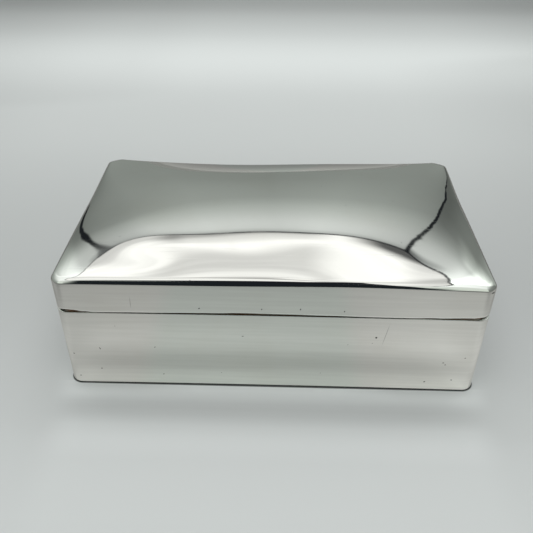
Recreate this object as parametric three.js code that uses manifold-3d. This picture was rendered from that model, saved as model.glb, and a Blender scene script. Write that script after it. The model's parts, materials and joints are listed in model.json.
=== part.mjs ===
// Silver table box: a wall and a crowned lid of sheet silver on a seven-knuckle hinge, lined with cedar.
// Millimetres, +Z up. The origin is the centre of the underside, and the front faces -Y.
import * as THREE from 'three';
import { mergeVertices } from 'three/addons/utils/BufferGeometryUtils.js';
import Module from 'manifold-3d';

const wasm = await Module();
wasm.setup();

// Box and sheet
const boxWidth = 175;
const boxDepth = 108;
const cornerRadius = 5.3;
const sheet = 1;
const bodyHeight = 39.2;
const footRadius = 0.8;
const flangeWidth = 4;

// Lid: an upright band, a tight bend at the rim and a low crown
const seamGap = 0.3;
const bandHeight = 13.5;
const bendRise = 1.6;
const bendReach = 3;
const crownRise = 11.1;
const crownPowerX = 1.82;
const crownPowerY = 2;
const crownFullnessX = 0.446;

// Strips that thicken the two edges at the seam
const stripThickness = 1.2;
const stripHeight = 3;

// Wood
const baseBoardThickness = 3;
const liningThickness = 3.2;
const lipHeight = 4;
const floorThickness = 2.4;
const dividerThickness = 2.5;
const dividerDrop = 5;
const housingDepth = 1.2;

// Hinge
const knuckleCount = 7;
const knuckleRadius = 2;
const boreRadius = 1;
const pinRadius = 0.85;
const hingeInset = 1.45;
const hingeEndMargin = 2.2;
const bearerThickness = 0.8;
const turnClearance = 0.25;
const lidOpening = 100;
const stopMargin = 5;

// Fits: loose pieces, soldered pieces
const fit = 0.3;
const solder = 0.1;

// Facets
const cornerSteps = 6;
const lidStepsX = 14;
const lidStepsY = 9;
const turnSteps = 48;
const knuckleSteps = 24;

// Places worked out from the sizes above
const halfWidth = boxWidth / 2;
const halfDepth = boxDepth / 2;
const lidFoot = bodyHeight + seamGap;
const lidRim = lidFoot + bandHeight;
const axisY = halfDepth - hingeInset;
const axisZ = bodyHeight + seamGap / 2;
const bearerInner = knuckleRadius + turnClearance;
const bearerOuter = bearerInner + bearerThickness;
const barrelLength = boxWidth - 2 * (cornerRadius + hingeEndMargin);
const baseBoardFloor = sheet + fit;
const woodFloor = baseBoardFloor + baseBoardThickness + fit;
const floorTop = woodFloor + floorThickness;
const liningTop = bodyHeight + lipHeight;
const liningInset = sheet + solder + stripThickness + fit;
const liningBack = axisY - bearerOuter - fit;
const liningFront = -halfDepth + liningInset;
const liningHalfX = halfWidth - liningInset;
const liningHalfY = (liningBack - liningFront) / 2;
const liningCentreY = (liningBack + liningFront) / 2;

const materials = {
  silver: new THREE.MeshStandardMaterial({ color: 0xd6d8d2, roughness: 0.1, metalness: 1 }),
  cedar: new THREE.MeshStandardMaterial({ color: 0xb4764a, roughness: 0.6, metalness: 0 }),
  hardwood: new THREE.MeshStandardMaterial({ color: 0x6a3a24, roughness: 0.5, metalness: 0 }),
  steel: new THREE.MeshStandardMaterial({ color: 0x9a9c9c, roughness: 0.3, metalness: 1 }),
};

// Rounded rectangle, anticlockwise from above, inset from its edge. Each side is cut into equal steps.
function roundedLoop({ halfX, halfY, radius, centreY = 0, stepsX = 1, stepsY = 1 }, inset = 0) {
  const bend = Math.max(radius - inset, 0.2);
  const reachX = halfX - inset - bend;
  const reachY = halfY - inset - bend;
  const corners = [[1, -1], [1, 1], [-1, 1], [-1, -1]];
  const loop = [];
  corners.forEach(([sideX, sideY], corner) => {
    const startAngle = (corner - 1) * Math.PI / 2;
    for (let step = 0; step <= cornerSteps; step += 1) {
      const angle = startAngle + step / cornerSteps * Math.PI / 2;
      const x = sideX * reachX + bend * Math.cos(angle);
      const y = sideY * reachY + bend * Math.sin(angle);
      loop.push(new THREE.Vector2(x, centreY + y));
    }
    const next = corners[(corner + 1) % corners.length];
    const sideSteps = next[0] === sideX ? stepsY : stepsX;
    const from = loop[loop.length - 1];
    const endAngle = startAngle + Math.PI / 2;
    const to = new THREE.Vector2(
      next[0] * reachX + bend * Math.cos(endAngle),
      centreY + next[1] * reachY + bend * Math.sin(endAngle),
    );
    for (let step = 1; step < sideSteps; step += 1) {
      loop.push(from.clone().lerp(to, step / sideSteps));
    }
  });
  return loop;
}

function atHeight(loop, z) {
  return loop.map((point) => new THREE.Vector3(point.x, point.y, z));
}

// Surface over a row of rings with equal counts. Rings that climb face away from the middle.
// Without end points the last ring joins the first, and with them each end closes on its point.
function skinOver(rings, startPoint = null, endPoint = null) {
  const count = rings[0].length;
  const points = rings.flat();
  const faces = [];
  const bands = startPoint ? rings.length - 1 : rings.length;
  for (let band = 0; band < bands; band += 1) {
    const low = band * count;
    const high = ((band + 1) % rings.length) * count;
    for (let i = 0; i < count; i += 1) {
      const next = (i + 1) % count;
      faces.push(low + i, low + next, high + next);
      faces.push(low + i, high + next, high + i);
    }
  }
  if (startPoint) {
    const lastRing = (rings.length - 1) * count;
    const start = points.push(startPoint) - 1;
    const end = points.push(endPoint) - 1;
    for (let i = 0; i < count; i += 1) {
      const next = (i + 1) % count;
      faces.push(start, next, i);
      faces.push(lastRing + i, lastRing + next, end);
    }
  }
  const geometry = new THREE.BufferGeometry().setFromPoints(points);
  geometry.setIndex(faces);
  return geometry;
}

// Closed profile of [inset, height] pairs carried round a rounded rectangle
function sweepRound(rectangle, profile) {
  return skinOver(profile.map(([inset, z]) => atHeight(roundedLoop(rectangle, inset), z)));
}

function toSolid(geometry) {
  const bare = geometry.clone();
  bare.deleteAttribute('normal');
  bare.deleteAttribute('uv');
  const merged = mergeVertices(bare);
  const mesh = new wasm.Mesh({
    numProp: 3,
    vertProperties: new Float32Array(merged.attributes.position.array),
    triVerts: new Uint32Array(merged.index.array),
  });
  return new wasm.Manifold(mesh);
}

function toGeometry(solid) {
  const mesh = solid.getMesh();
  const geometry = new THREE.BufferGeometry();
  geometry.setAttribute('position', new THREE.BufferAttribute(new Float32Array(mesh.vertProperties), 3));
  geometry.setIndex(new THREE.BufferAttribute(new Uint32Array(mesh.triVerts), 1));
  geometry.computeVertexNormals();
  return geometry;
}

function cutAway(geometry, cutters) {
  return toGeometry(cutters.reduce((solid, cutter) => solid.subtract(toSolid(cutter)), toSolid(geometry)));
}

function keepInside(geometry, keeper) {
  return toGeometry(toSolid(geometry).intersect(toSolid(keeper)));
}

function extrudeUp(shape, from, to) {
  const geometry = new THREE.ExtrudeGeometry(shape, { depth: to - from, bevelEnabled: false });
  return geometry.translate(0, 0, from);
}

// Section drawn in Y and Z, carried along X and centred on it
function extrudeAlongX(shape, length, curveSegments = 12) {
  const geometry = new THREE.ExtrudeGeometry(shape, { depth: length, bevelEnabled: false, curveSegments });
  const turn = new THREE.Matrix4().makeBasis(
    new THREE.Vector3(0, 1, 0),
    new THREE.Vector3(0, 0, 1),
    new THREE.Vector3(1, 0, 0),
  );
  return geometry.translate(0, 0, -length / 2).applyMatrix4(turn);
}

// Cylinder along X on the hinge axis
function hingeCylinder(radius, length) {
  return new THREE.CylinderGeometry(radius, radius, length, turnSteps)
    .rotateZ(Math.PI / 2)
    .translate(0, axisY, axisZ);
}

// The wedge behind the axis, whose two flanks become the bevels that stop the lid
function stopWedge() {
  const reach = hingeInset + cornerRadius;
  const rise = reach * Math.tan(THREE.MathUtils.degToRad((lidOpening + stopMargin) / 2));
  const section = new THREE.Shape([
    new THREE.Vector2(axisY, axisZ),
    new THREE.Vector2(axisY + reach, axisZ - rise),
    new THREE.Vector2(axisY + reach, axisZ + rise),
  ]);
  return extrudeAlongX(section, boxWidth + 2 * fit);
}

const outerRectangle = { halfX: halfWidth, halfY: halfDepth, radius: cornerRadius };
const lidRectangle = { ...outerRectangle, stepsX: lidStepsX, stepsY: lidStepsY };
const wallCutters = [hingeCylinder(bearerInner, barrelLength + 2 * fit), stopWedge()];
const stripCutters = [hingeCylinder(bearerOuter + fit, barrelLength + 2 * fit), stopWedge()];

function bodyWallGeometry() {
  const footSteps = 4;
  const profile = [];
  for (let step = 0; step <= footSteps; step += 1) {
    const angle = step / footSteps * Math.PI / 2;
    profile.push([footRadius * (1 - Math.sin(angle)), footRadius * (1 - Math.cos(angle))]);
  }
  profile.push([0, bodyHeight], [sheet, bodyHeight], [sheet, sheet], [flangeWidth, sheet], [flangeWidth, 0]);
  return cutAway(sweepRound(outerRectangle, profile), wallCutters);
}

// Outer height of the lid over a point of the plan
function lidHeight(x, y) {
  const pastX = Math.abs(x) - (halfWidth - cornerRadius);
  const pastY = Math.abs(y) - (halfDepth - cornerRadius);
  const past = Math.hypot(Math.max(pastX, 0), Math.max(pastY, 0)) + Math.min(Math.max(pastX, pastY), 0);
  const inset = Math.min(Math.max((cornerRadius - past) / bendReach, 0), 1);
  const bend = bendRise * Math.sqrt(1 - (1 - inset) ** 3);
  const acrossX = Math.max(1 - Math.abs(x / halfWidth) ** crownPowerX, 0) ** crownFullnessX;
  const acrossY = Math.max(1 - Math.abs(y / halfDepth) ** crownPowerY, 0);
  return lidRim + bend + crownRise * acrossX * acrossY;
}

function onLid(point) {
  return new THREE.Vector3(point.x, point.y, lidHeight(point.x, point.y));
}

// Point of the lid's inner face: one sheet thickness in from the outer one, square to it
function underLid(point) {
  const span = 0.02;
  const slopeX = (lidHeight(point.x + span, point.y) - lidHeight(point.x - span, point.y)) / (2 * span);
  const slopeY = (lidHeight(point.x, point.y + span) - lidHeight(point.x, point.y - span)) / (2 * span);
  const normal = new THREE.Vector3(-slopeX, -slopeY, 1).normalize();
  return onLid(point).addScaledVector(normal, -sheet);
}

function lidShellGeometry() {
  const bendInsets = [0.08, 0.25, 0.5, 1].map((share) => share * bendReach);
  const crownScales = [0.97, 0.93, 0.86, 0.77, 0.66, 0.53, 0.38, 0.2];
  const crownEdge = roundedLoop(lidRectangle, bendReach);
  const crownLoops = crownScales.map((scale) => crownEdge.map((point) => point.clone().multiplyScalar(scale)));
  const bendLoops = bendInsets.map((inset) => roundedLoop(lidRectangle, inset));
  const outerLoops = [...bendLoops, ...crownLoops];
  const innerLoops = outerLoops.slice(1).reverse();
  const outside = roundedLoop(lidRectangle);
  const inside = roundedLoop(lidRectangle, sheet);
  const middle = new THREE.Vector2(0, 0);
  const rings = [
    ...innerLoops.map((loop) => loop.map(underLid)),
    atHeight(inside, lidRim),
    atHeight(inside, lidFoot),
    atHeight(outside, lidFoot),
    outside.map(onLid),
    ...outerLoops.map((loop) => loop.map(onLid)),
  ];
  return cutAway(skinOver(rings, underLid(middle), onLid(middle)), wallCutters);
}

// Strip soldered inside the sheet along the front and the sides, ending at the hinge
function rimStripGeometry(from, to) {
  const outer = sheet + solder;
  const inner = outer + stripThickness;
  const profile = [[outer, from], [outer, to], [inner, to], [inner, from]];
  return cutAway(sweepRound(outerRectangle, profile), stripCutters);
}

function baseBoardGeometry() {
  const inset = sheet + fit;
  const shape = new THREE.Shape(roundedLoop(outerRectangle, inset));
  return extrudeUp(shape, baseBoardFloor, baseBoardFloor + baseBoardThickness);
}

// All four lining boards as one frame, with a rounded top edge
function liningFrame() {
  const rectangle = {
    halfX: liningHalfX,
    halfY: liningHalfY,
    radius: cornerRadius - liningInset,
    centreY: liningCentreY,
  };
  const topRadius = liningThickness / 2;
  const topSteps = 6;
  const profile = [[0, woodFloor]];
  for (let step = 0; step <= topSteps; step += 1) {
    const angle = step / topSteps * Math.PI;
    const inset = topRadius * (1 - Math.cos(angle));
    profile.push([inset, liningTop - topRadius * (1 - Math.sin(angle))]);
  }
  profile.push([liningThickness, woodFloor]);
  return sweepRound(rectangle, profile);
}

// Plan of one side's share of the frame, between the mitres at its two ends
function mitrePlan(alongX, side) {
  const over = cornerRadius;
  const under = liningThickness + cornerRadius;
  const shift = fit / Math.SQRT2;
  const halfLong = alongX ? liningHalfX : liningHalfY;
  const halfShort = alongX ? liningHalfY : liningHalfX;
  const corners = [
    [-halfLong - over + shift, halfShort + over],
    [halfLong + over - shift, halfShort + over],
    [halfLong - under - shift, halfShort - under],
    [-halfLong + under + shift, halfShort - under],
  ];
  const plan = corners.map(([long, short]) => (
    alongX
      ? new THREE.Vector2(long, liningCentreY + side * short)
      : new THREE.Vector2(side * short, liningCentreY + long)
  ));
  return new THREE.Shape(plan);
}

const dividerFloor = floorTop + fit;
const dividerTop = bodyHeight - dividerDrop;
const dividerReach = 2 * (liningHalfY - liningThickness + housingDepth - fit);

// Slots in the front and back boards that the divider slides down into
function housingCutter() {
  const reach = 2 * (liningHalfY - liningThickness + housingDepth);
  const height = liningTop - dividerFloor + 2 * fit;
  return new THREE.BoxGeometry(dividerThickness + 2 * fit, reach, height)
    .translate(0, liningCentreY, dividerFloor - fit + height / 2);
}

function liningBoardGeometry(alongX, side) {
  const keeper = extrudeUp(mitrePlan(alongX, side), woodFloor - fit, liningTop + fit);
  const board = keepInside(liningFrame(), keeper);
  return alongX ? cutAway(board, [housingCutter()]) : board;
}

function liningFloorGeometry() {
  const inset = liningThickness + fit;
  return new THREE.BoxGeometry(2 * (liningHalfX - inset), 2 * (liningHalfY - inset), floorThickness)
    .translate(0, liningCentreY, woodFloor + floorThickness / 2);
}

// Divider with a rounded top edge
function dividerGeometry() {
  const radius = dividerThickness / 2;
  const section = new THREE.Shape();
  section.moveTo(-radius, dividerFloor);
  section.lineTo(radius, dividerFloor);
  section.absarc(0, dividerTop - radius, radius, 0, Math.PI);
  const geometry = new THREE.ExtrudeGeometry(section, {
    depth: dividerReach,
    bevelEnabled: false,
    curveSegments: cornerSteps,
  });
  return geometry
    .translate(0, 0, -dividerReach / 2)
    .rotateX(Math.PI / 2)
    .translate(0, liningCentreY, 0);
}

// Half gutter round the barrel, from the seam to the wall. The lid's half is above the axis.
function bearerGeometry(above) {
  const wallReach = hingeInset - sheet - solder;
  const seamReach = seamGap / 2;
  const outerStart = Math.acos(wallReach / bearerOuter);
  const outerEnd = Math.PI - Math.asin(seamReach / bearerOuter);
  const innerStart = Math.acos(wallReach / bearerInner);
  const innerEnd = Math.PI - Math.asin(seamReach / bearerInner);
  const side = above ? 1 : -1;
  const section = new THREE.Shape();
  section.absarc(0, 0, bearerOuter, side * outerStart, side * outerEnd, !above);
  section.absarc(0, 0, bearerInner, side * innerEnd, side * innerStart, above);
  return extrudeAlongX(section, barrelLength);
}

// Plain tube, turned about X
function knuckleGeometry(length) {
  const half = length / 2;
  const profile = [
    new THREE.Vector2(boreRadius, -half),
    new THREE.Vector2(knuckleRadius, -half),
    new THREE.Vector2(knuckleRadius, half),
    new THREE.Vector2(boreRadius, half),
    new THREE.Vector2(boreRadius, -half),
  ];
  return new THREE.LatheGeometry(profile, knuckleSteps).rotateZ(Math.PI / 2);
}

function named(name, geometry, material) {
  const mesh = new THREE.Mesh(geometry, material);
  mesh.name = name;
  return mesh;
}

const base = new THREE.Group();
base.add(named('body_wall', bodyWallGeometry(), materials.silver));
base.add(named('body_rim_strip', rimStripGeometry(bodyHeight - stripHeight, bodyHeight), materials.silver));
base.add(named('base_board', baseBoardGeometry(), materials.hardwood));
base.add(named('lining_front', liningBoardGeometry(true, -1), materials.cedar));
base.add(named('lining_back', liningBoardGeometry(true, 1), materials.cedar));
base.add(named('lining_left', liningBoardGeometry(false, -1), materials.cedar));
base.add(named('lining_right', liningBoardGeometry(false, 1), materials.cedar));
base.add(named('lining_floor', liningFloorGeometry(), materials.cedar));
base.add(named('lining_divider', dividerGeometry(), materials.cedar));

const lid = new THREE.Group();
lid.add(named('lid_shell', lidShellGeometry(), materials.silver));
lid.add(named('lid_rim_strip', rimStripGeometry(lidFoot, lidFoot + stripHeight), materials.silver));

const hinge = new THREE.Group();
hinge.position.set(0, axisY, axisZ);
hinge.add(named('hinge_bearer_body', bearerGeometry(false), materials.silver));
hinge.add(named('hinge_bearer_lid', bearerGeometry(true), materials.silver));
const knuckleLength = (barrelLength - (knuckleCount - 1) * fit) / knuckleCount;
for (let i = 0; i < knuckleCount; i += 1) {
  const knuckle = named(`hinge_knuckle_${i + 1}`, knuckleGeometry(knuckleLength), materials.silver);
  knuckle.position.x = (i - (knuckleCount - 1) / 2) * (knuckleLength + fit);
  hinge.add(knuckle);
}
const pinGeometry = new THREE.CylinderGeometry(pinRadius, pinRadius, barrelLength, knuckleSteps);
hinge.add(named('hinge_pin', pinGeometry.rotateZ(Math.PI / 2), materials.steel));

const box = new THREE.Group();
box.add(base, lid, hinge);

export default box;
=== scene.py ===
import json
import math

import bpy
from mathutils import Matrix, Vector


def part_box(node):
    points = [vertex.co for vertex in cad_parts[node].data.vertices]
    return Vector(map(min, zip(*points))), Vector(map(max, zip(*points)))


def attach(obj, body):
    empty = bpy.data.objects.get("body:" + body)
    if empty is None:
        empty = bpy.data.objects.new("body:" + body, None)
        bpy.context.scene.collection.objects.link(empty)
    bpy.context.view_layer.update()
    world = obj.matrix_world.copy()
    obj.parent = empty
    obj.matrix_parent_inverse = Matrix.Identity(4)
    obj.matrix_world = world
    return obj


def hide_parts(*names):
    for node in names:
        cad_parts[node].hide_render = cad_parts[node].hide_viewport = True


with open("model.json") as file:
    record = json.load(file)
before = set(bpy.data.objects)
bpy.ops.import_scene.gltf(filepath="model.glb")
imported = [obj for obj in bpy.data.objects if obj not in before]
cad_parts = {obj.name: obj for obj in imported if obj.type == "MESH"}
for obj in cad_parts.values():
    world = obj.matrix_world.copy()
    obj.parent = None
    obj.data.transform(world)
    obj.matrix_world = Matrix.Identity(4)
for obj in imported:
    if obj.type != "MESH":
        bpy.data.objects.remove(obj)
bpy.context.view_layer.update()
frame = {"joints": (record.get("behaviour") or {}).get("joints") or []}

scene = bpy.context.scene
mm = 0.001


def nodeBox(name):
    low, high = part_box(name)
    return low / mm, high / mm


# Places read from the frame, in millimetres like every size below
wallHigh = nodeBox("body_wall")[1]
lidLow, lidHigh = nodeBox("lid_shell")
halfWidth = wallHigh.x
halfDepth = wallHigh.y
seamLow = wallHigh.z
seamHigh = lidLow.z
barrelHalf = nodeBox("hinge_pin")[1].x
axisY = frame["joints"][0]["pos_m"][1] / mm
axisZ = frame["joints"][0]["pos_m"][2] / mm

plan = {
    "cornerRadius": 5.3,
    "arcSteps": 28,  # even, so that a corner splits in two
    "sideStepsX": 132,
    "sideStepsY": 84,
    "sheet": 1.0,
    "edgeRound": 0.22,
    "edgeCut": 0.29,  # the middle of a rounded edge, as a share of its radius
    "stepHalf": 0.015,  # half of the run in which a notch or a slot begins
    "notchEnd": 0.3,
    "notchRise": 2.25,
    "bevelAngle": 52.5,
    "frontBow": 0.44,  # the front and the two ends have sunk in a little along their middles
    "endBow": 0.5,
}


def clamp(value, low=0.0, high=1.0):
    return min(max(value, low), high)


def smooth(value, low, high):
    share = clamp((value - low) / (high - low))
    return share * share * (3 - 2 * share)


def bell(value, place, reach):
    return math.exp(-((value - place) / reach) ** 2)


def settle(point):
    x, y, z = point
    alongX = x / halfWidth
    alongY = y / halfDepth
    x -= plan["endBow"] * alongX * abs(alongX) * (1 - alongY ** 2)
    if y < 0:
        y += plan["frontBow"] * alongY ** 2 * (1 - alongX ** 2)
    return x * mm, y * mm, z * mm


def addObject(name, points, faces, sharpAngle=40):
    mesh = bpy.data.meshes.new(name)
    mesh.from_pydata([settle(point) for point in points], [], faces)
    mesh.validate()
    mesh.polygons.foreach_set("use_smooth", [True] * len(mesh.polygons))
    mesh.set_sharp_from_angle(angle=math.radians(sharpAngle))
    obj = bpy.data.objects.new(name, mesh)
    scene.collection.objects.link(obj)
    return obj


def finishPiece(obj, body, slotName, nodes, *materials):
    for material in materials:
        obj.data.materials.append(material)
    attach(obj, body)
    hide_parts(*nodes)


def sidePlaces(half, steps, doubled=()):
    places = [-half + 2 * half * i / steps for i in range(1, steps)]
    for place in doubled:
        places += [place - plan["stepHalf"], place + plan["stepHalf"]]
    return sorted(places)


# A station is a place on a rounded rectangle: a base point, the way out from it and the corner's signs.
# They run anticlockwise from the middle of the front left corner.
def makeStations(halfX, halfY, radius, arcSteps, placesX, placesY, centreY=0.0):
    inX = halfX - radius
    inY = halfY - radius
    stations = []

    def corner(signX, signY, startAngle, first, last):
        baseX = signX * inX
        baseY = centreY + signY * inY
        for step in range(first, last + 1):
            angle = math.radians(startAngle + 90 * step / arcSteps)
            stations.append((baseX, baseY, math.cos(angle), math.sin(angle), signX, signY))

    corner(-1, -1, 180, arcSteps // 2, arcSteps)
    stations.extend((x, centreY - inY, 0, -1, 0, 0) for x in placesX)
    corner(1, -1, 270, 0, arcSteps)
    stations.extend((inX, centreY + y, 1, 0, 0, 0) for y in placesY)
    corner(1, 1, 0, 0, arcSteps)
    stations.extend((x, centreY + inY, 0, 1, 0, 0) for x in reversed(placesX))
    corner(-1, 1, 90, 0, arcSteps)
    stations.extend((-inX, centreY + y, -1, 0, 0, 0) for y in reversed(placesY))
    corner(-1, -1, 180, 0, arcSteps // 2 - 1)
    return stations


def placeAt(station, inset, radius):
    baseX, baseY, outX, outY, signX, signY = station
    reach = radius - inset
    if reach < 0 and signX:
        return baseX + signX * reach, baseY + signY * reach
    return baseX + outX * reach, baseY + outY * reach


# Four-sided faces between rows of points; wrapped joins the last row to the first
def joinRows(count, rows, closed=True, wrapped=False):
    faces = []
    for row in range(rows if wrapped else rows - 1):
        low = row * count
        high = (row + 1) % rows * count
        for i in range(count if closed else count - 1):
            j = (i + 1) % count
            faces.append((low + i, low + j, high + j, high + i))
    return faces


# Carries a closed profile of (inset, height) pairs, outside going up, along a row of stations
def sweep(chain, radius, profile, closed, insetAt=None, heightAt=None):
    points = []
    for inset, height in profile:
        for station in chain:
            x, y = placeAt(station, insetAt(station, inset) if insetAt else inset, radius)
            points.append((x, y, heightAt(x, y, height) if heightAt else height))
    count = len(chain)
    rows = len(profile)
    faces = joinRows(count, rows, closed, wrapped=True)
    if not closed:
        faces.append([row * count for row in range(rows)])
        faces.append([row * count + count - 1 for row in reversed(range(rows))])
    return points, faces


notchHalf = barrelHalf + plan["notchEnd"]
sheetPlacesX = sidePlaces(halfWidth - plan["cornerRadius"], plan["sideStepsX"], (-notchHalf, notchHalf))
sheetPlacesY = sidePlaces(halfDepth - plan["cornerRadius"], plan["sideStepsY"])
sheetStations = makeStations(
    halfWidth, halfDepth, plan["cornerRadius"], plan["arcSteps"], sheetPlacesX, sheetPlacesY)
bevelSlope = math.tan(math.radians(plan["bevelAngle"]))


def hingeRelief(x, y):
    # how far an edge at the seam draws back from the hinge axis
    past = y - axisY
    if past <= 0:
        return 0.0
    if abs(x) < notchHalf:
        return plan["notchRise"]
    return past * bevelSlope


def bodyTopAt(x, y):
    return min(seamLow, axisZ - hingeRelief(x, y))


# Width of the seam along the front: it closes up right of the middle and opens at the corners
seamForm = {
    "widths": ((-88, 0.7), (-83, 1.6), (-80, 1.4), (-76, 0.7), (-70, 0.3), (-50, 0.45), (-25, 0.8),
               (-13, 1.1), (6, 0.9), (25, 0.65), (40, 0.4), (54, 0.38), (66, 0.7), (80, 1.1), (84, 1.7),
               (88, 1.9)),
    "evenFrom": 5,  # how far behind the front it starts to even out
    "evenBy": 25,
}


def seamWidthAt(x):
    widths = seamForm["widths"]
    for (x0, width0), (x1, width1) in zip(widths, widths[1:]):
        if x <= x1:
            return width0 + (width1 - width0) * smooth(x, x0, x1)
    return widths[-1][1]


def lidFootAt(x, y):
    usual = seamHigh - seamLow
    evened = smooth(y, -halfDepth + seamForm["evenFrom"], -halfDepth + seamForm["evenBy"])
    width = usual + (seamWidthAt(x) - usual) * (1 - evened)
    return max(seamLow + width, axisZ + hingeRelief(x, y))


bodyForm = {
    "footRadius": 0.8,
    "footSteps": 6,
    "flangeWidth": 4.0,
    "wallRings": 10,
    "nearEdge": 0.12,  # a ring this close to each rounded edge keeps the wall between them flat
    "fixedBelow": 4.0,
}


def makeBodyWall():
    edge = plan["edgeRound"]
    cut = plan["edgeCut"] * edge
    sheet = plan["sheet"]
    foot = bodyForm["footRadius"]
    flange = bodyForm["flangeWidth"]
    profile = [(flange, 0)]
    for step in range(bodyForm["footSteps"] + 1):
        angle = math.radians(90 * step / bodyForm["footSteps"])
        profile.append((foot * (1 - math.sin(angle)), foot * (1 - math.cos(angle))))
    near = bodyForm["nearEdge"]
    flatHeight = seamLow - edge - foot - 2 * near
    for step in range(bodyForm["wallRings"] + 1):
        profile.append((0, foot + near + flatHeight * step / bodyForm["wallRings"]))
    profile += [(0, seamLow - edge), (cut, seamLow - cut), (edge, seamLow)]
    profile += [(sheet - edge, seamLow), (sheet, seamLow - edge), (sheet, sheet), (flange, sheet)]

    def heightAt(x, y, height):
        fixed = bodyForm["fixedBelow"]
        return height + (bodyTopAt(x, y) - seamLow) * clamp((height - fixed) / (seamLow - fixed))

    points, faces = sweep(sheetStations, plan["cornerRadius"], profile, True, heightAt=heightAt)
    return addObject("bodyWall", points, faces)


lidForm = {
    "bendRise": 1.6,
    "bendReach": 3.0,
    "crownRise": 10.7,
    "crownPowerX": 1.82,
    "crownPowerY": 2.0,
    "crownFullnessX": 0.446,
    "rimDrop": 12.7,  # from the top of the crown to the rim
    "bandRings": 8,
    "nearFoot": 0.045,  # a ring this close to the foot, as a share of the band, keeps the band flat
    "bendRings": 18,
    "backSag": (-20, 40, 1.4),  # the back edge dips left of the middle: place, reach and depth
    "backRise": 2.0,  # it rises to its ends and drops at the corners
    "backTilt": 0.3,
    "backStart": 8,
    "cornerDrop": 1.0,
    "cornerMargin": 3,
    "cornerReach": (3.5, 7),
    "frontRise": (36, 36, 0.5),  # the front stands higher right of the middle
    "frontRiseEnd": 50,
    "edgeRise": (28, 34, 0.35),  # and the rim's edge a little more
    "swellPower": 8,  # the swells die away close to the rim
}
lidRim = lidHigh.z - lidForm["rimDrop"]

# Swells and hollows of the hand-raised crown: x, y, reach in x, reach in y, rise
lidSwells = {
    "leftShoulder": (-73, -36, 32, 25, 1.3),
    "leftHollow": (-81, -9, 18, 20, -1.3),
    "leftFrontHollow": (-56, -42, 20, 12, -0.8),
    "leftCorner": (-87, -44, 12, 25, 1.2),
    "middle": (-27, -25, 80, 17, 1.15),
    "frontHollow": (-7, -32, 39, 16, -1.2),
    "rightFrontHollow": (35, -47, 24, 21, -0.85),
    "rightCorner": (83, -58, 14, 26, 2.2),
    "rightBack": (63, -13, 49, 54, 0.85),
}


def lidHeight(x, y):
    radius = plan["cornerRadius"]
    pastX = abs(x) - (halfWidth - radius)
    pastY = abs(y) - (halfDepth - radius)
    past = math.hypot(max(pastX, 0), max(pastY, 0)) + min(max(pastX, pastY), 0)
    inset = clamp((radius - past) / lidForm["bendReach"])
    alongX = abs(x / halfWidth)
    alongY = abs(y / halfDepth)
    height = lidRim + lidForm["bendRise"] * math.sqrt(1 - (1 - inset) ** 3)
    acrossX = max(1 - alongX ** lidForm["crownPowerX"], 0) ** lidForm["crownFullnessX"]
    height += lidForm["crownRise"] * acrossX * max(1 - alongY ** lidForm["crownPowerY"], 0)
    rise = sum(
        swell * bell(x, swellX, reachX) * bell(y, swellY, reachY)
        for swellX, swellY, reachX, reachY, swell in lidSwells.values())
    power = lidForm["swellPower"]
    height += rise * max(1 - alongX ** power, 0) * max(1 - alongY ** power, 0)
    place, reach, frontRise = lidForm["frontRise"]
    nearFront = max(lidForm["frontRiseEnd"] - y, 0) / (lidForm["frontRiseEnd"] + halfDepth)
    height += frontRise * bell(x, place, reach) * nearFront ** 2
    if y < 0:
        place, reach, edgeRise = lidForm["edgeRise"]
        return height + edgeRise * bell(x, place, reach) * (1 - inset) ** 2
    place, reach, backSag = lidForm["backSag"]
    margin = lidForm["cornerMargin"]
    corner = math.sqrt(max(pastX + margin, 0) * max(pastY + margin, 0))
    back = lidForm["backRise"] * alongX ** 5 - backSag * bell(x, place, reach)
    back += lidForm["backTilt"] * x / halfWidth
    back -= lidForm["cornerDrop"] * smooth(corner, *lidForm["cornerReach"])
    return height + back * smooth(y, lidForm["backStart"], halfDepth)


# Plan positions inside a loop that runs along the front, right, back and left
def fillLoop(loop, stepsU, stepsV):
    def corner(k):
        return loop[k % len(loop)]

    rows = []
    for j in range(1, stepsV):
        v = j / stepsV
        row = []
        for i in range(1, stepsU):
            u = i / stepsU
            front = corner(i)
            right = corner(stepsU + j)
            back = corner(2 * stepsU + stepsV - i)
            left = corner(-j)
            spot = []
            for k in (0, 1):
                value = (1 - v) * front[k] + v * back[k] + (1 - u) * left[k] + u * right[k]
                value -= (1 - u) * (1 - v) * corner(0)[k] + u * (1 - v) * corner(stepsU)[k]
                value -= u * v * corner(stepsU + stepsV)[k] + (1 - u) * v * corner(2 * stepsU + stepsV)[k]
                spot.append(value)
            row.append(spot)
        rows.append(row)
    return rows


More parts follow.
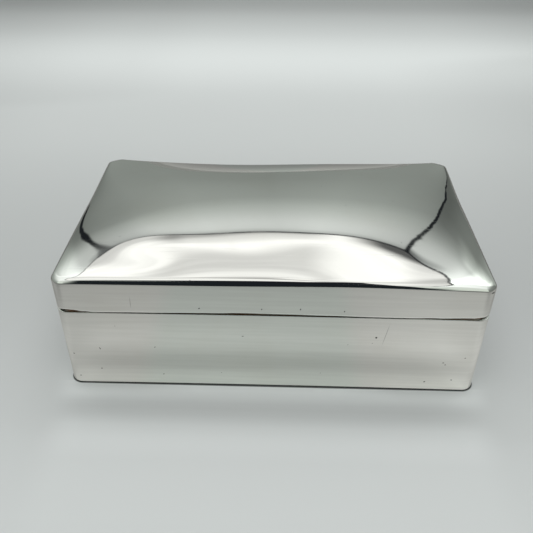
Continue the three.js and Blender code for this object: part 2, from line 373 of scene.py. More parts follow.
def makeLidShell():
    edge = plan["edgeRound"]
    cut = plan["edgeCut"] * edge
    sheet = plan["sheet"]
    count = len(sheetStations)
    stepsU = plan["arcSteps"] + len(sheetPlacesX) + 1
    stepsV = plan["arcSteps"] + len(sheetPlacesY) + 1
    points = []

    def ring(inset, heightAt):
        for station in sheetStations:
            x, y = placeAt(station, inset, plan["cornerRadius"])
            points.append((x, y, heightAt(x, y)))

    ring(edge, lidFootAt)
    ring(cut, lambda x, y: lidFootAt(x, y) + cut)
    bandRings = lidForm["bandRings"]
    for share in [0, lidForm["nearFoot"]] + [step / bandRings for step in range(1, bandRings)]:
        ring(0, lambda x, y: (lidFootAt(x, y) + edge) * (1 - share) + lidHeight(x, y) * share)
    for step in range(lidForm["bendRings"] + 1):
        ring(lidForm["bendReach"] * (step / lidForm["bendRings"]) ** 2, lidHeight)
    ringCount = len(points) // count
    lastRing = (ringCount - 1) * count
    crownStart = len(points)
    loop = [point[:2] for point in points[lastRing:]]
    for row in fillLoop(loop, stepsU, stepsV):
        points.extend((x, y, lidHeight(x, y)) for x, y in row)

    def gridIndex(i, j):
        if j == 0:
            return lastRing + i
        if i == stepsU:
            return lastRing + stepsU + j
        if j == stepsV:
            return lastRing + 2 * stepsU + stepsV - i
        if i == 0:
            return lastRing + count - j
        return crownStart + (j - 1) * (stepsU - 1) + i - 1

    faces = joinRows(count, ringCount)
    for j in range(stepsV):
        for i in range(stepsU):
            corners = ((i, j), (i + 1, j), (i + 1, j + 1), (i, j + 1))
            faces.append(tuple(gridIndex(*corner) for corner in corners))

    # the inside is the same surface drawn in by the thickness of the sheet
    outerPoints = len(points)
    outerFaces = len(faces)
    for x, y, z in points[:outerPoints]:
        lower = sheet * clamp((z - seamHigh) / (lidRim - seamHigh))
        points.append((x * (1 - sheet / halfWidth), y * (1 - sheet / halfDepth), z - lower))
    faces += [tuple(outerPoints + i for i in reversed(face)) for face in faces]
    for i in range(count):
        j = (i + 1) % count
        faces.append((j, i, outerPoints + i, outerPoints + j))
    shell = addObject("lidShell", points, faces)
    inside = [1 if outerFaces <= i < 2 * outerFaces else 0 for i in range(len(faces))]
    shell.data.polygons.foreach_set("material_index", inside)
    return shell


stripForm = {"gap": 0.1, "thickness": 1.2, "height": 3.0, "ease": 0.15, "end": 0.6}


def makeRimStrip(name, low, high):
    outer = plan["sheet"] + stripForm["gap"]
    inner = outer + stripForm["thickness"]
    ease = stripForm["ease"]
    behind = [
        i for i, station in enumerate(sheetStations)
        if station[3] == 1 and abs(station[0]) < barrelHalf + stripForm["end"]]
    chain = sheetStations[behind[-1] + 1:] + sheetStations[:behind[0]]
    profile = [(outer, low), (outer, high), (inner - ease, high), (inner, high - ease), (inner, low + ease),
               (inner - ease, low)]

    def heightAt(x, y, height):
        relief = hingeRelief(x, y)
        if high <= seamLow:
            return min(height, axisZ - relief)
        lift = max(lidFootAt(x, y) - seamHigh, 0) if y < 0 else 0
        return max(height + lift * (high - height) / (high - low), axisZ + relief)

    points, faces = sweep(chain, plan["cornerRadius"], profile, False, heightAt=heightAt)
    return addObject(name, points, faces, sharpAngle=25)


print("sheet forms ready")

woodForm = {
    "liningThickness": 3.2,
    "arcSteps": 12,
    "sideStepsX": 24,
    "sideStepsY": 16,
    "topSteps": 16,
    "dividerSteps": 12,
    "mitre": 0.22,  # half of the open joint, along the board
    "slotHalf": 1.55,
    "slotDepth": 1.2,
    "ease": 0.25,
}
liningLow, liningHigh = nodeBox("lining_front")
liningBack = nodeBox("lining_back")[1].y
liningHalfX = -nodeBox("lining_left")[0].x
liningHalfY = (liningBack - liningLow.y) / 2
liningCentreY = (liningBack + liningLow.y) / 2
liningRadius = plan["cornerRadius"] - (halfWidth - liningHalfX)


def makeWoodStations(halfX, halfY, radius, centreY, doubled=()):
    placesX = sidePlaces(halfX - radius, woodForm["sideStepsX"], doubled)
    placesY = sidePlaces(halfY - radius, woodForm["sideStepsY"])
    stations = makeStations(halfX, halfY, radius, woodForm["arcSteps"], placesX, placesY, centreY)
    return stations, len(placesX), len(placesY)


def liningChains():
    slot = woodForm["slotHalf"]
    stations, countX, countY = makeWoodStations(
        liningHalfX, liningHalfY, liningRadius, liningCentreY, (-slot, slot))
    stations.append(stations[0])
    longSide = woodForm["arcSteps"] + countX + 1
    shortSide = woodForm["arcSteps"] + countY + 1
    chains = {}
    first = 0
    for side, steps in (("front", longSide), ("right", shortSide), ("back", longSide), ("left", shortSide)):
        chains[side] = stations[first:first + steps + 1]
        first += steps
    return chains


def makeLiningBoard(side, chain):
    thickness = woodForm["liningThickness"]
    radius = thickness / 2
    profile = [(0, liningLow.z)]
    for step in range(woodForm["topSteps"] + 1):
        angle = math.pi * step / woodForm["topSteps"]
        profile.append((radius * (1 - math.cos(angle)), liningHigh.z - radius * (1 - math.sin(angle))))
    profile.append((thickness, liningLow.z))

    def insetAt(station, inset):
        slotted = side in ("front", "back") and abs(station[0]) < woodForm["slotHalf"]
        return min(inset, thickness - woodForm["slotDepth"]) if slotted else inset

    points, faces = sweep(chain, liningRadius, profile, False, insetAt=insetAt)
    if side in ("front", "back"):
        shrink = 1 - woodForm["mitre"] / liningHalfX
        points = [(x * shrink, y, z) for x, y, z in points]
    else:
        shrink = 1 - woodForm["mitre"] / liningHalfY
        points = [(x, liningCentreY + (y - liningCentreY) * shrink, z) for x, y, z in points]
    return addObject("lining" + side.capitalize(), points, faces, sharpAngle=30)


def makeBoard(name, node, radius):
    low, high = nodeBox(node)
    ease = woodForm["ease"]
    stations, _, _ = makeWoodStations(high.x, (high.y - low.y) / 2, radius, (high.y + low.y) / 2)
    profile = [(ease, low.z), (0, low.z + ease), (0, high.z - ease), (ease, high.z)]
    points, _ = sweep(stations, radius, profile, True)
    count = len(stations)
    faces = joinRows(count, len(profile))
    faces.append(list(reversed(range(count))))
    faces.append(list(range(3 * count, 4 * count)))
    return addObject(name, points, faces, sharpAngle=25)


def makeDivider():
    low, high = nodeBox("lining_divider")
    radius = high.x
    section = [(-radius, low.z), (radius, low.z)]
    for step in range(woodForm["topSteps"] + 1):
        angle = math.pi * step / woodForm["topSteps"]
        section.append((radius * math.cos(angle), high.z - radius + radius * math.sin(angle)))
    steps = woodForm["dividerSteps"]
    points = []
    for step in range(steps + 1):
        y = low.y + (high.y - low.y) * step / steps
        points.extend((x, y, z) for x, z in section)
    count = len(section)
    faces = [face[::-1] for face in joinRows(count, steps + 1)]
    faces.append(list(range(count)))
    faces.append(list(reversed(range(steps * count, (steps + 1) * count))))
    return addObject("liningDivider", points, faces, sharpAngle=30)


print("wood forms ready")

hingeForm = {
    "turnSteps": 64,
    "knuckleCount": 7,
    "knuckleRadius": 2.0,
    "bore": 1.0,
    "pinRadius": 0.85,
    "pinCentre": 0.02,
    "ease": 0.12,
    "bearerInner": 2.25,
    "bearerOuter": 3.05,
    "bearerSteps": 40,
}


def turnOnAxis(name, profile):
    # closed profile of (place along the axis, radius)
    steps = hingeForm["turnSteps"]
    points = []
    for along, radius in profile:
        for step in range(steps):
            angle = 2 * math.pi * step / steps
            points.append((along, axisY + radius * math.cos(angle), axisZ + radius * math.sin(angle)))
    return addObject(name, points, joinRows(steps, len(profile), wrapped=True), sharpAngle=30)


def makeKnuckle(number):
    low, high = nodeBox(f"hinge_knuckle_{number}")
    outer = hingeForm["knuckleRadius"]
    bore = hingeForm["bore"]
    ease = hingeForm["ease"]
    profile = [
        (low.x, bore + ease), (low.x, outer - ease), (low.x + ease, outer), (high.x - ease, outer),
        (high.x, outer - ease), (high.x, bore + ease), (high.x - ease, bore), (low.x + ease, bore)]
    return turnOnAxis(f"hingeKnuckle{number}", profile)


def makePin():
    radius = hingeForm["pinRadius"]
    centre = hingeForm["pinCentre"]
    ease = 2 * hingeForm["ease"]
    end = barrelHalf
    profile = [(-end, centre), (-end, radius - ease), (-end + ease, radius), (end - ease, radius),
               (end, radius - ease), (end, centre)]
    return turnOnAxis("hingePin", profile)


def makeBearer(name, above):
    wallReach = halfDepth - plan["sheet"] - stripForm["gap"] - axisY
    seamReach = (seamHigh - seamLow) / 2
    steps = hingeForm["bearerSteps"]
    section = []
    for radius, order in ((hingeForm["bearerOuter"], 1), (hingeForm["bearerInner"], -1)):
        start = math.acos(wallReach / radius)
        end = math.pi - math.asin(seamReach / radius)
        arc = []
        for step in range(steps + 1):
            angle = start + (end - start) * step / steps
            arc.append((radius * math.cos(angle), radius * math.sin(angle) * (1 if above else -1)))
        section += arc[::order]
    points = []
    for x in (-barrelHalf, barrelHalf):
        points.extend((x, axisY + y, axisZ + z) for y, z in section)
    count = len(section)
    faces = joinRows(count, 2)
    faces.append(list(reversed(range(count))))
    faces.append(list(range(count, 2 * count)))
    if not above:
        faces = [tuple(reversed(face)) for face in faces]
    return addObject(name, points, faces, sharpAngle=30)


print("hinge forms ready")


def isSocket(value):
    return isinstance(value, bpy.types.NodeSocket)


def treeOf(*values):
    # a socket knows the node tree that it belongs to
    return next(value.id_data for value in values if isSocket(value))


def put(tree, socket, value):
    if isSocket(value):
        tree.links.new(value, socket)
    else:
        socket.default_value = value


def addNode(tree, kind, inputs=None, **settings):
    node = tree.nodes.new(kind)
    for key, value in settings.items():
        setattr(node, key, value)
    for key, value in (inputs or {}).items():
        put(tree, node.inputs[key], value)
    return node


def calc(operation, first, second=0.0):
    tree = treeOf(first, second)
    return addNode(tree, "ShaderNodeMath", {0: first, 1: second}, operation=operation).outputs[0]


def times(first, *others):
    for other in others:
        first = calc("MULTIPLY", first, other)
    return first


def greatest(first, *others):
    for other in others:
        first = calc("MAXIMUM", first, other)
    return first


def fade(value, fromLow, fromHigh, toLow=0.0, toHigh=1.0, kind="SMOOTHSTEP"):
    inputs = {"Value": value, "From Min": fromLow, "From Max": fromHigh, "To Min": toLow, "To Max": toHigh}
    return addNode(treeOf(value), "ShaderNodeMapRange", inputs, interpolation_type=kind).outputs["Result"]


def choose(chosen, first, second):
    return addNode(treeOf(chosen), "ShaderNodeMix", {0: chosen, 2: first, 3: second}).outputs[0]


def mixColour(factor, first, second, blend="MIX"):
    inputs = {0: factor, 6: first, 7: second}
    tree = treeOf(factor, first, second)
    return addNode(tree, "ShaderNodeMix", inputs, data_type="RGBA", blend_type=blend).outputs[2]


def tinted(colour, tint):
    return mixColour(1.0, colour, tint, "MULTIPLY")


def ramp(value, stops, interpolation="LINEAR"):
    node = addNode(treeOf(value), "ShaderNodeValToRGB", {"Fac": value})
    node.color_ramp.interpolation = interpolation
    elements = node.color_ramp.elements
    while len(elements) < len(stops):
        elements.new(0.5)
    for element, (place, colour) in zip(elements, stops):
        element.position = place
        element.color = (*colour, 1) if isinstance(colour, tuple) else (colour, colour, colour, 1)
    return node.outputs["Color"]


def shades(value, stops, interpolation="LINEAR"):
    low = stops[0][0]
    high = stops[-1][0]
    shares = [((place - low) / (high - low), level) for place, level in stops]
    return ramp(fade(value, low, high, kind="LINEAR"), shares, interpolation)


def noise(vector, scale, detail, roughness=0.5, dimensions="3D"):
    inputs = {"Vector": vector, "Scale": scale, "Detail": detail, "Roughness": roughness}
    return addNode(treeOf(vector), "ShaderNodeTexNoise", inputs, noise_dimensions=dimensions)


def stretch(vector, shareX, angle=0.0):
    inputs = {"Vector": vector, "Rotation": (0, 0, angle), "Scale": (shareX, 1, 1)}
    return addNode(treeOf(vector), "ShaderNodeMapping", inputs).outputs[0]


def newGroup(name, inputs, outputs):
    tree = bpy.data.node_groups.new(name, "ShaderNodeTree")
    for inOut, names in (("INPUT", inputs), ("OUTPUT", outputs)):
        for socketName in names:
            kind = "NodeSocketVector" if socketName == "Vector" else "NodeSocketFloat"
            tree.interface.new_socket(socketName, in_out=inOut, socket_type=kind)
    return tree, tree.nodes.new("NodeGroupInput").outputs


def finishGroup(tree, results):
    leave = tree.nodes.new("NodeGroupOutput")
    for socketName, value in results.items():
        tree.links.new(value, leave.inputs[socketName])
    return tree


def useGroup(tree, group, inputs=None):
    node = addNode(tree, "ShaderNodeGroup", node_tree=group)
    for key, value in (inputs or {}).items():
        put(tree, node.inputs[key], value)
    return node.outputs


def newMaterial(name):
    material = bpy.data.materials.new(name)
    material.use_nodes = True
    material.node_tree.nodes.clear()
    return material, material.node_tree


def outputTo(tree, shader, kind="ShaderNodeOutputMaterial"):
    out = tree.nodes.new(kind)
    tree.links.new(shader, out.inputs["Surface"])


def makeFaceMap():
    # flat coordinates in metres on the face of the box that a point belongs to, and how that face looks
    tree, _ = newGroup("faceMap", (), ("Vector", "Front", "Upright"))
    coords = addNode(tree, "ShaderNodeTexCoord").outputs
    x, y, z = addNode(tree, "ShaderNodeSeparateXYZ", {0: coords["Object"]}).outputs
    facingX, facingY, facingZ = addNode(tree, "ShaderNodeSeparateXYZ", {0: coords["Normal"]}).outputs
    upward = calc("GREATER_THAN", calc("ABSOLUTE", facingZ), 0.6)
    sideways = calc("GREATER_THAN", calc("ABSOLUTE", facingX), 0.7)
    along = choose(upward, choose(sideways, x, y), x)
    flat = addNode(tree, "ShaderNodeCombineXYZ", {"X": along, "Y": choose(upward, z, y)})
    return finishGroup(tree, {
        "Vector": flat.outputs[0],
        "Front": calc("LESS_THAN", facingY, -0.6),
        "Upright": calc("SUBTRACT", 1.0, upward),
    })


# Hairlines left by polishing, a few small pits, faint smears and level streaks
wearForm = {
    "lines": ((0.35, 0.68), (-0.8, 0.71), (1.45, 0.7)),  # angle, and the level at which a line begins
    "lineSoftness": 0.1,
    "lineStretch": 0.018,
    "pitScale": 95.0,
    "pitLevel": 0.93,  # a pit sits in the cells above this level
    "pitReach": (0.008, 0.02),
    "smearScale": 26.0,
    "streakScale": 700.0,
    "streakStretch": 0.03,
}


def makePolishWear():
    tree, entry = newGroup("polishWear", ("Vector", "Hairlines"), ("Scratch", "Pit", "Smear", "Streak"))
    vector = entry["Vector"]
    lines = []
    for angle, level in wearForm["lines"]:
        turned = stretch(vector, wearForm["lineStretch"], angle)
        hairs = noise(turned, entry["Hairlines"], 2.0, dimensions="2D")
        lines.append(fade(hairs.outputs["Fac"], level, level + wearForm["lineSoftness"]))
    cells = addNode(tree, "ShaderNodeTexVoronoi", {
        "Vector": vector, "Scale": wearForm["pitScale"]}, voronoi_dimensions="2D")
    chance = addNode(tree, "ShaderNodeSeparateColor", {0: cells.outputs["Color"]}).outputs[0]
    pit = fade(cells.outputs["Distance"], *wearForm["pitReach"], 1.0, 0.0)
    drawn = stretch(vector, wearForm["streakStretch"])
    return finishGroup(tree, {
        "Scratch": greatest(*lines),
        "Pit": times(pit, calc("GREATER_THAN", chance, wearForm["pitLevel"])),
        "Smear": noise(vector, wearForm["smearScale"], 5.0, 0.6, "2D").outputs["Fac"],
        "Streak": noise(drawn, wearForm["streakScale"], 3.0, dimensions="2D").outputs["Fac"],
    })


# Pits and two scratches on the front: x, z, half length, half width, angle
frontMarks = (
    (-28.9, 42.4, 0.42, 0.3, 60), (-4.0, 42.5, 0.4, 0.25, 80), (11.4, 42.9, 0.5, 0.25, 75),
    (28.8, 42.3, 0.42, 0.25, 70), (-11.8, 28.2, 0.5, 0.2, 0), (42.7, 29.0, 0.5, 0.5, 0),
    (71.9, 16.0, 0.45, 0.25, 10), (72.9, 14.9, 0.35, 0.25, 80), (80.5, 19.0, 0.4, 0.2, 30),
    (76.9, 6.2, 0.4, 0.3, 0), (65.7, 4.7, 0.5, 0.3, 20), (-83.3, 16.9, 0.4, 0.3, 0),
    (-71.8, 20.0, 0.7, 0.2, 110), (-72.7, 8.5, 0.4, 0.3, 0), (-82.5, 4.1, 0.35, 0.3, 0),
    (-48.6, 21.2, 0.4, 0.2, 60), (-46.3, 5.7, 0.4, 0.2, 30), (46.4, 30.4, 6.2, 0.16, 80),
    (-56.1, 44.8, 3.0, 0.14, 88), (85.3, 52.6, 0.9, 0.4, 0),
)


def makeFrontMarks():
    tree, entry = newGroup("frontMarks", ("Vector",), ("Mask",))
    marks = []
    for x, z, halfLength, halfWide, angle in frontMarks:
        local = addNode(tree, "ShaderNodeMapping", {
            "Vector": entry["Vector"], "Location": (x * mm, z * mm, 0),
            "Rotation": (0, 0, math.radians(angle)), "Scale": (halfLength * mm, halfWide * mm, 1)},
            vector_type="TEXTURE")
        away = addNode(tree, "ShaderNodeVectorMath", {0: local.outputs[0]}, operation="LENGTH")
        darkness = 0.4 if halfLength > 2 else 1.0  # the long scratches are fainter
        marks.append(fade(away.outputs["Value"], 0.5, 1.15, darkness, 0.0))
    return finishGroup(tree, {"Mask": greatest(*marks)})


# Straight grain along X: growth bands, fibres and pores
grainForm = {
    "driftScale": 22.0,
    "drift": 0.012,
    "bandStretch": 0.04,
    "fibreStretch": 0.03,
    "poreLevels": (0.34, 0.42),
}


def makeWoodGrain():
    tree, entry = newGroup("woodGrain", ("Vector", "Bands", "Fibres"), ("Band", "Fibre", "Pore"))
    vector = entry["Vector"]

    def vectorMath(operation, inputs):
        return addNode(tree, "ShaderNodeVectorMath", inputs, operation=operation).outputs[0]

    drift = noise(vector, grainForm["driftScale"], 2.0).outputs["Color"]
    push = vectorMath("SUBTRACT", {0: drift, 1: (0.5, 0.5, 0.5)})
    push = vectorMath("SCALE", {0: push, "Scale": grainForm["drift"]})
    bent = vectorMath("ADD", {0: vector, 1: push})
    bands = noise(stretch(bent, grainForm["bandStretch"]), entry["Bands"], 3.0)
    fibres = noise(stretch(vector, grainForm["fibreStretch"]), entry["Fibres"], 4.0, 0.7).outputs["Fac"]
    return finishGroup(tree, {
        "Band": bands.outputs["Fac"],
        "Fibre": fibres,
        "Pore": fade(fibres, *grainForm["poreLevels"], 1.0, 0.0),
    })


faceMap = makeFaceMap()
polishWear = makePolishWear()
frontMarkMask = makeFrontMarks()
woodGrain = makeWoodGrain()

silverLook = {
    "colour": (0.88, 0.892, 0.87, 1),
    "tarnish": (0.80, 0.785, 0.72, 1),
    "pitColour": (0.03, 0.03, 0.03, 1),
    "hairlines": 900.0,
    "streak": 0.026,  # level polishing streaks round the walls
    "smear": 0.2,
    "smearLevels": (0.45, 0.75),
    "roughLow": 0.025,
    "roughHigh": 0.06,
    "roughLevels": (0.35, 0.8),
    "scratchRough": 0.06,
    "scratchDepth": 0.1,
    "bump": 0.00001,
    "bumpStrength": 0.5,
    "marks": True,
}


def makeSilver(name, look):
    material, tree = newMaterial(name)
    face = useGroup(tree, faceMap)
    wear = useGroup(tree, polishWear, {"Vector": face["Vector"], "Hairlines": look["hairlines"]})
    pit = wear["Pit"]
    if look["marks"]:
        marks = useGroup(tree, frontMarkMask, {"Vector": face["Vector"]})
        pit = greatest(pit, times(marks["Mask"], face["Front"]))
    dulled = fade(wear["Smear"], *look["smearLevels"], 0.0, look["smear"])
    colour = mixColour(dulled, look["colour"], look["tarnish"])
    streaked = fade(wear["Streak"], 0.3, 0.7, 1 - look["streak"], 1 + look["streak"])
    colour = tinted(colour, mixColour(face["Upright"], (1, 1, 1, 1), streaked))
    colour = mixColour(pit, colour, look["pitColour"])
    rough = fade(wear["Smear"], *look["roughLevels"], look["roughLow"], look["roughHigh"])
    rough = calc("ADD", rough, times(wear["Scratch"], look["scratchRough"]))
    sunk = calc("ADD", times(wear["Scratch"], -look["scratchDepth"]), times(pit, -1.0))
    bump = addNode(tree, "ShaderNodeBump", {
        "Height": sunk, "Strength": look["bumpStrength"], "Distance": look["bump"]})
    shader = addNode(tree, "ShaderNodeBsdfPrincipled", {
        "Base Color": colour, "Roughness": rough, "Normal": bump.outputs[0], "Metallic": 1.0})
    outputTo(tree, shader.outputs[0])
    return material


silver = makeSilver("polishedSilver", silverLook)
silverInside = makeSilver("satinSilver", dict(
    silverLook, roughLow=0.16, roughHigh=0.24, hairlines=1500.0, smear=0.35, marks=False))
silverPlain = makeSilver("hingeSilver", dict(
    silverLook, roughLow=0.07, roughHigh=0.13, smear=0.35, marks=False))
pinSteel = makeSilver("pinSteel", dict(
    silverLook, colour=(0.5, 0.5, 0.5, 1), tarnish=(0.4, 0.38, 0.35, 1), roughLow=0.25, roughHigh=0.35,
    marks=False))

cedarLook = {
    "bands": 260.0,
    "fibres": 1900.0,
    "stops": ((0.32, (0.30, 0.125, 0.055)), (0.5, (0.45, 0.21, 0.10)), (0.68, (0.56, 0.29, 0.15))),
    "streak": 0.35,
    "fibreColour": (0.36, 0.16, 0.075, 1),
    "pore": 0.5,
    "poreColour": (0.16, 0.06, 0.03, 1),
    "roughLow": 0.5,
    "roughHigh": 0.72,
    "bump": 0.0001,
    "bumpStrength": 0.35,
}
hardwoodLook = dict(
    cedarLook,
    stops=((0.3, (0.07, 0.024, 0.012)), (0.5, (0.12, 0.045, 0.022)), (0.7, (0.17, 0.07, 0.035))),
    fibreColour=(0.08, 0.03, 0.016, 1),
    poreColour=(0.03, 0.012, 0.008, 1),
    roughLow=0.3,
    roughHigh=0.45,
)


def makeWood(name, look, turned=False):
    material, tree = newMaterial(name)
    coords = addNode(tree, "ShaderNodeTexCoord").outputs["Object"]
    grain = useGroup(tree, woodGrain, {
        "Vector": stretch(coords, 1.0, math.pi / 2 if turned else 0),
        "Bands": look["bands"], "Fibres": look["fibres"]})
    colour = ramp(grain["Band"], look["stops"])
    colour = mixColour(fade(grain["Fibre"], 0.3, 0.7, 0.0, look["streak"]), colour, look["fibreColour"])
    colour = mixColour(times(grain["Pore"], look["pore"]), colour, look["poreColour"])
    rough = fade(grain["Fibre"], 0.3, 0.7, look["roughHigh"], look["roughLow"])
    bump = addNode(tree, "ShaderNodeBump", {
        "Height": grain["Fibre"], "Strength": look["bumpStrength"], "Distance": look["bump"]})
    shader = addNode(tree, "ShaderNodeBsdfPrincipled", {
        "Base Color": colour, "Roughness": rough, "Normal": bump.outputs[0]})
    outputTo(tree, shader.outputs[0])
    return material


cedar = makeWood("cedar", cedarLook)
cedarTurned = makeWood("cedarAcross", cedarLook, turned=True)
hardwood = makeWood("hardwood", hardwoodLook)
print("materials ready")

finishPiece(makeBodyWall(), "base", "silver", ["body_wall"], silver)
finishPiece(makeRimStrip("bodyRimStrip", seamLow - stripForm["height"], seamLow), "base", "silver",
            ["body_rim_strip"], silverPlain)
finishPiece(makeLidShell(), "lid", "silver", ["lid_shell"], silver, silverInside)
finishPiece(makeRimStrip("lidRimStrip", seamHigh, seamHigh + stripForm["height"]), "lid", "silver",
            ["lid_rim_strip"], silverPlain)
for sideName, sideChain in liningChains().items():
    finishPiece(makeLiningBoard(sideName, sideChain), "base", "cedar", [f"lining_{sideName}"],
                cedar if sideName in ("front", "back") else cedarTurned)
finishPiece(makeBoard("liningFloor", "lining_floor", 0.4), "base", "cedar", ["lining_floor"], cedar)
finishPiece(makeDivider(), "base", "cedar", ["lining_divider"], cedarTurned)
finishPiece(makeBoard("baseBoard", "base_board", 4.0), "base", "hardwood", ["base_board"], hardwood)
for knuckleNumber in range(1, hingeForm["knuckleCount"] + 1):
    finishPiece(makeKnuckle(knuckleNumber), "base" if knuckleNumber % 2 else "lid", "silver",
                [f"hinge_knuckle_{knuckleNumber}"], silverPlain)
finishPiece(makePin(), "base", "pin_steel", ["hinge_pin"], pinSteel)
finishPiece(makeBearer("hingeBearerBody", False), "base", "silver", ["hinge_bearer_body"], silverPlain)
finishPiece(makeBearer("hingeBearerLid", True), "lid", "silver", ["hinge_bearer_lid"], silverPlain)
print("pieces ready")

# The floor carries painted light and shade, both for the camera and for the metal's reflections.
# The floor as the camera sees it brightens and falls off with distance; the metal sees it by its own painted
# shades.
# Stops and fades by place are in metres. A fade is from, to and, if not 0 and 1, the levels at both.
floorLook = {
    "half": 6000,
    "drop": 0.05,
    "seenStops": ((-0.12, 0.57), (-0.03, 0.475), (0.05, 0.455), (0.18, 0.535), (0.31, 0.61), (0.41, 0.73),
                  (0.50, 0.635), (0.60, 0.485), (0.68, 0.38), (1.2, 0.5)),
    "seenGain": 1.08,
    "seenTint": (0.972, 1.0, 1.008, 1),
    # painted shade: the floor as the camera sees it darkens towards the sides
    "seenSides": (0.17, 0.38, 1.0, 0.85),
    "seenLeft": (-0.08, -0.17, 1.0, 0.96),
    "seenLeftFrom": (0.22, 0.32),
    "seenRight": (0.1, 0.22, 1.0, 0.92),
    "seenRightTo": (0.5, 0.38),
    # painted reflection: the floor as the metal mirrors it, darker than the camera's floor and darkest
    # behind the box
    "mirroredStops": ((-0.2, 0.36), (-0.14, 0.36), (-0.114, 0.39), (-0.094, 0.437), (-0.085, 0.482),
                      (-0.077, 0.5), (-0.069, 0.54), (-0.055, 0.53), (-0.05, 0.45), (0.045, 0.45),
                      (0.06, 0.22), (0.3, 0.235), (0.8, 0.42), (1.8, 0.75), (6.0, 0.8)),
    "mirroredFront": (-0.05, 0.0, 1.0, 0.0),
    "mirroredRight": (0.02, 0.09, 1.0, 1.17),
    "mirroredSide": (0.105, 0.15, 1.0, 0.65),
    "mirroredSideBack": (0.05, 0.12, 0.0, 0.1),  # the sides lie further out behind the box
    "mirroredTint": (0.965, 1.0, 0.968, 1),
    "mirroredEndTint": (1.02, 1.0, 0.98, 1),
    "mirroredLeftEnd": (-0.049, -0.063),
    "mirroredRightEnd": (0.031, 0.045),
    # painted light standing in for the light that the polished front throws back on the floor, by
    # millimetres from it
    "glowStops": ((0, 1.72), (3.5, 1.6), (7, 1.38), (10.5, 1.13), (13.5, 1.04), (17, 1.04), (23, 1.155),
                  (29, 1.13), (40, 1.05), (60, 1.03), (90, 1.0)),
    "glowSides": (0.078, 0.095, 1.0, 0.0),
    "footShade": (0.5, 7.0, 0.83, 1.0),  # painted shade, darker just before the two ends of the front
    "footEnds": (0.03, 0.06),
    # the same painted light beside the two ends
    "sideGlowStops": ((0, 1.27), (4, 1.19), (7, 1.13), (10, 1.09), (14, 1.06), (20, 1.03), (30, 1.0)),
    "paintedContactShadow": (0.0001, 0.0007, 0.1, 1.0),  # painted contact shadow, the dark line round the foot
    "farFade": (1.0, 2.6),
    "farColour": (0.62, 0.64, 0.63, 1),
}


def makeFloor():
    half = floorLook["half"] * mm
    corners = [(-half, -half, 0), (half, -half, 0), (half, half, 0), (-half, half, 0)]
    mesh = bpy.data.meshes.new("floor")
    mesh.from_pydata(corners, [], [(0, 1, 2, 3)])
    floor = bpy.data.objects.new("floor", mesh)
    floor.location.z = -floorLook["drop"] * mm
    scene.collection.objects.link(floor)
    material, tree = newMaterial("paleFloor")
    coords = addNode(tree, "ShaderNodeTexCoord").outputs["Object"]
    x, y, _ = addNode(tree, "ShaderNodeSeparateXYZ", {0: coords}).outputs
    aside = calc("ABSOLUTE", x)
    ahead = times(calc("SUBTRACT", -halfDepth * mm, y), 1 / mm)

    # distance from the foot of the box
    radius = plan["cornerRadius"]
    pastX = greatest(calc("SUBTRACT", aside, (halfWidth - radius) * mm), 0.0)
    pastY = greatest(calc("SUBTRACT", calc("ABSOLUTE", y), (halfDepth - radius) * mm), 0.0)
    past = calc("SQRT", calc("ADD", times(pastX, pastX), times(pastY, pastY)))
    away = calc("SUBTRACT", past, radius * mm)

    # painted shade: a contact shadow at the foot, a darker band beside the box and darker sides
    leftward = times(x, fade(y, *floorLook["seenLeftFrom"]))
    rightward = times(x, fade(y, *floorLook["seenRightTo"]))
    gain = times(
        fade(away, *floorLook["paintedContactShadow"]), fade(aside, *floorLook["seenSides"]),
        fade(leftward, *floorLook["seenLeft"]), fade(rightward, *floorLook["seenRight"]),
        floorLook["seenGain"])
    seen = tinted(shades(y, floorLook["seenStops"], "CARDINAL"), gain)
    seen = tinted(seen, floorLook["seenTint"])

    # painted reflection: the metal mirrors a floor with its own shades, lighter right of the front and
    # warmer at the ends
    rightFront = times(x, fade(y, *floorLook["mirroredFront"]))
    outward = calc("SUBTRACT", aside, fade(y, *floorLook["mirroredSideBack"]))
    gain = times(fade(rightFront, *floorLook["mirroredRight"]), fade(outward, *floorLook["mirroredSide"]))
    mirrored = tinted(shades(y, floorLook["mirroredStops"]), gain)
    ends = greatest(fade(x, *floorLook["mirroredLeftEnd"]), fade(x, *floorLook["mirroredRightEnd"]))
    mirrored = tinted(mirrored, mixColour(ends, floorLook["mirroredTint"], floorLook["mirroredEndTint"]))

    # painted light from the polished front and ends, on the floor and in its reflection
    beside = times(fade(aside, *floorLook["glowSides"]), calc("GREATER_THAN", ahead, -1.0))
    glow = shades(ahead, floorLook["glowStops"])
    sideGlow = shades(times(away, 1 / mm), floorLook["sideGlowStops"])
    # painted shade just before the two ends of the front
    foot = tinted(glow, fade(ahead, *floorLook["footShade"]))
    footGlow = mixColour(fade(aside, *floorLook["footEnds"]), glow, foot)
    seen = tinted(seen, mixColour(beside, sideGlow, footGlow))
    mirrored = tinted(mirrored, mixColour(beside, (1, 1, 1, 1), glow))

    light = addNode(tree, "ShaderNodeLightPath").outputs["Is Camera Ray"]
    matte = addNode(tree, "ShaderNodeBsdfDiffuse", {"Color": mixColour(light, mirrored, seen)})
    # far off, the floor runs out into the pale background
    distance = addNode(tree, "ShaderNodeVectorMath", {0: coords}, operation="LENGTH").outputs["Value"]
    far = times(fade(distance, *floorLook["farFade"]), light)
    haze = addNode(tree, "ShaderNodeEmission", {"Color": floorLook["farColour"]})
    blend = addNode(tree, "ShaderNodeMixShader", {0: far, 1: matte.outputs[0], 2: haze.outputs[0]})
    outputTo(tree, blend.outputs[0])
    floor.data.materials.append(material)


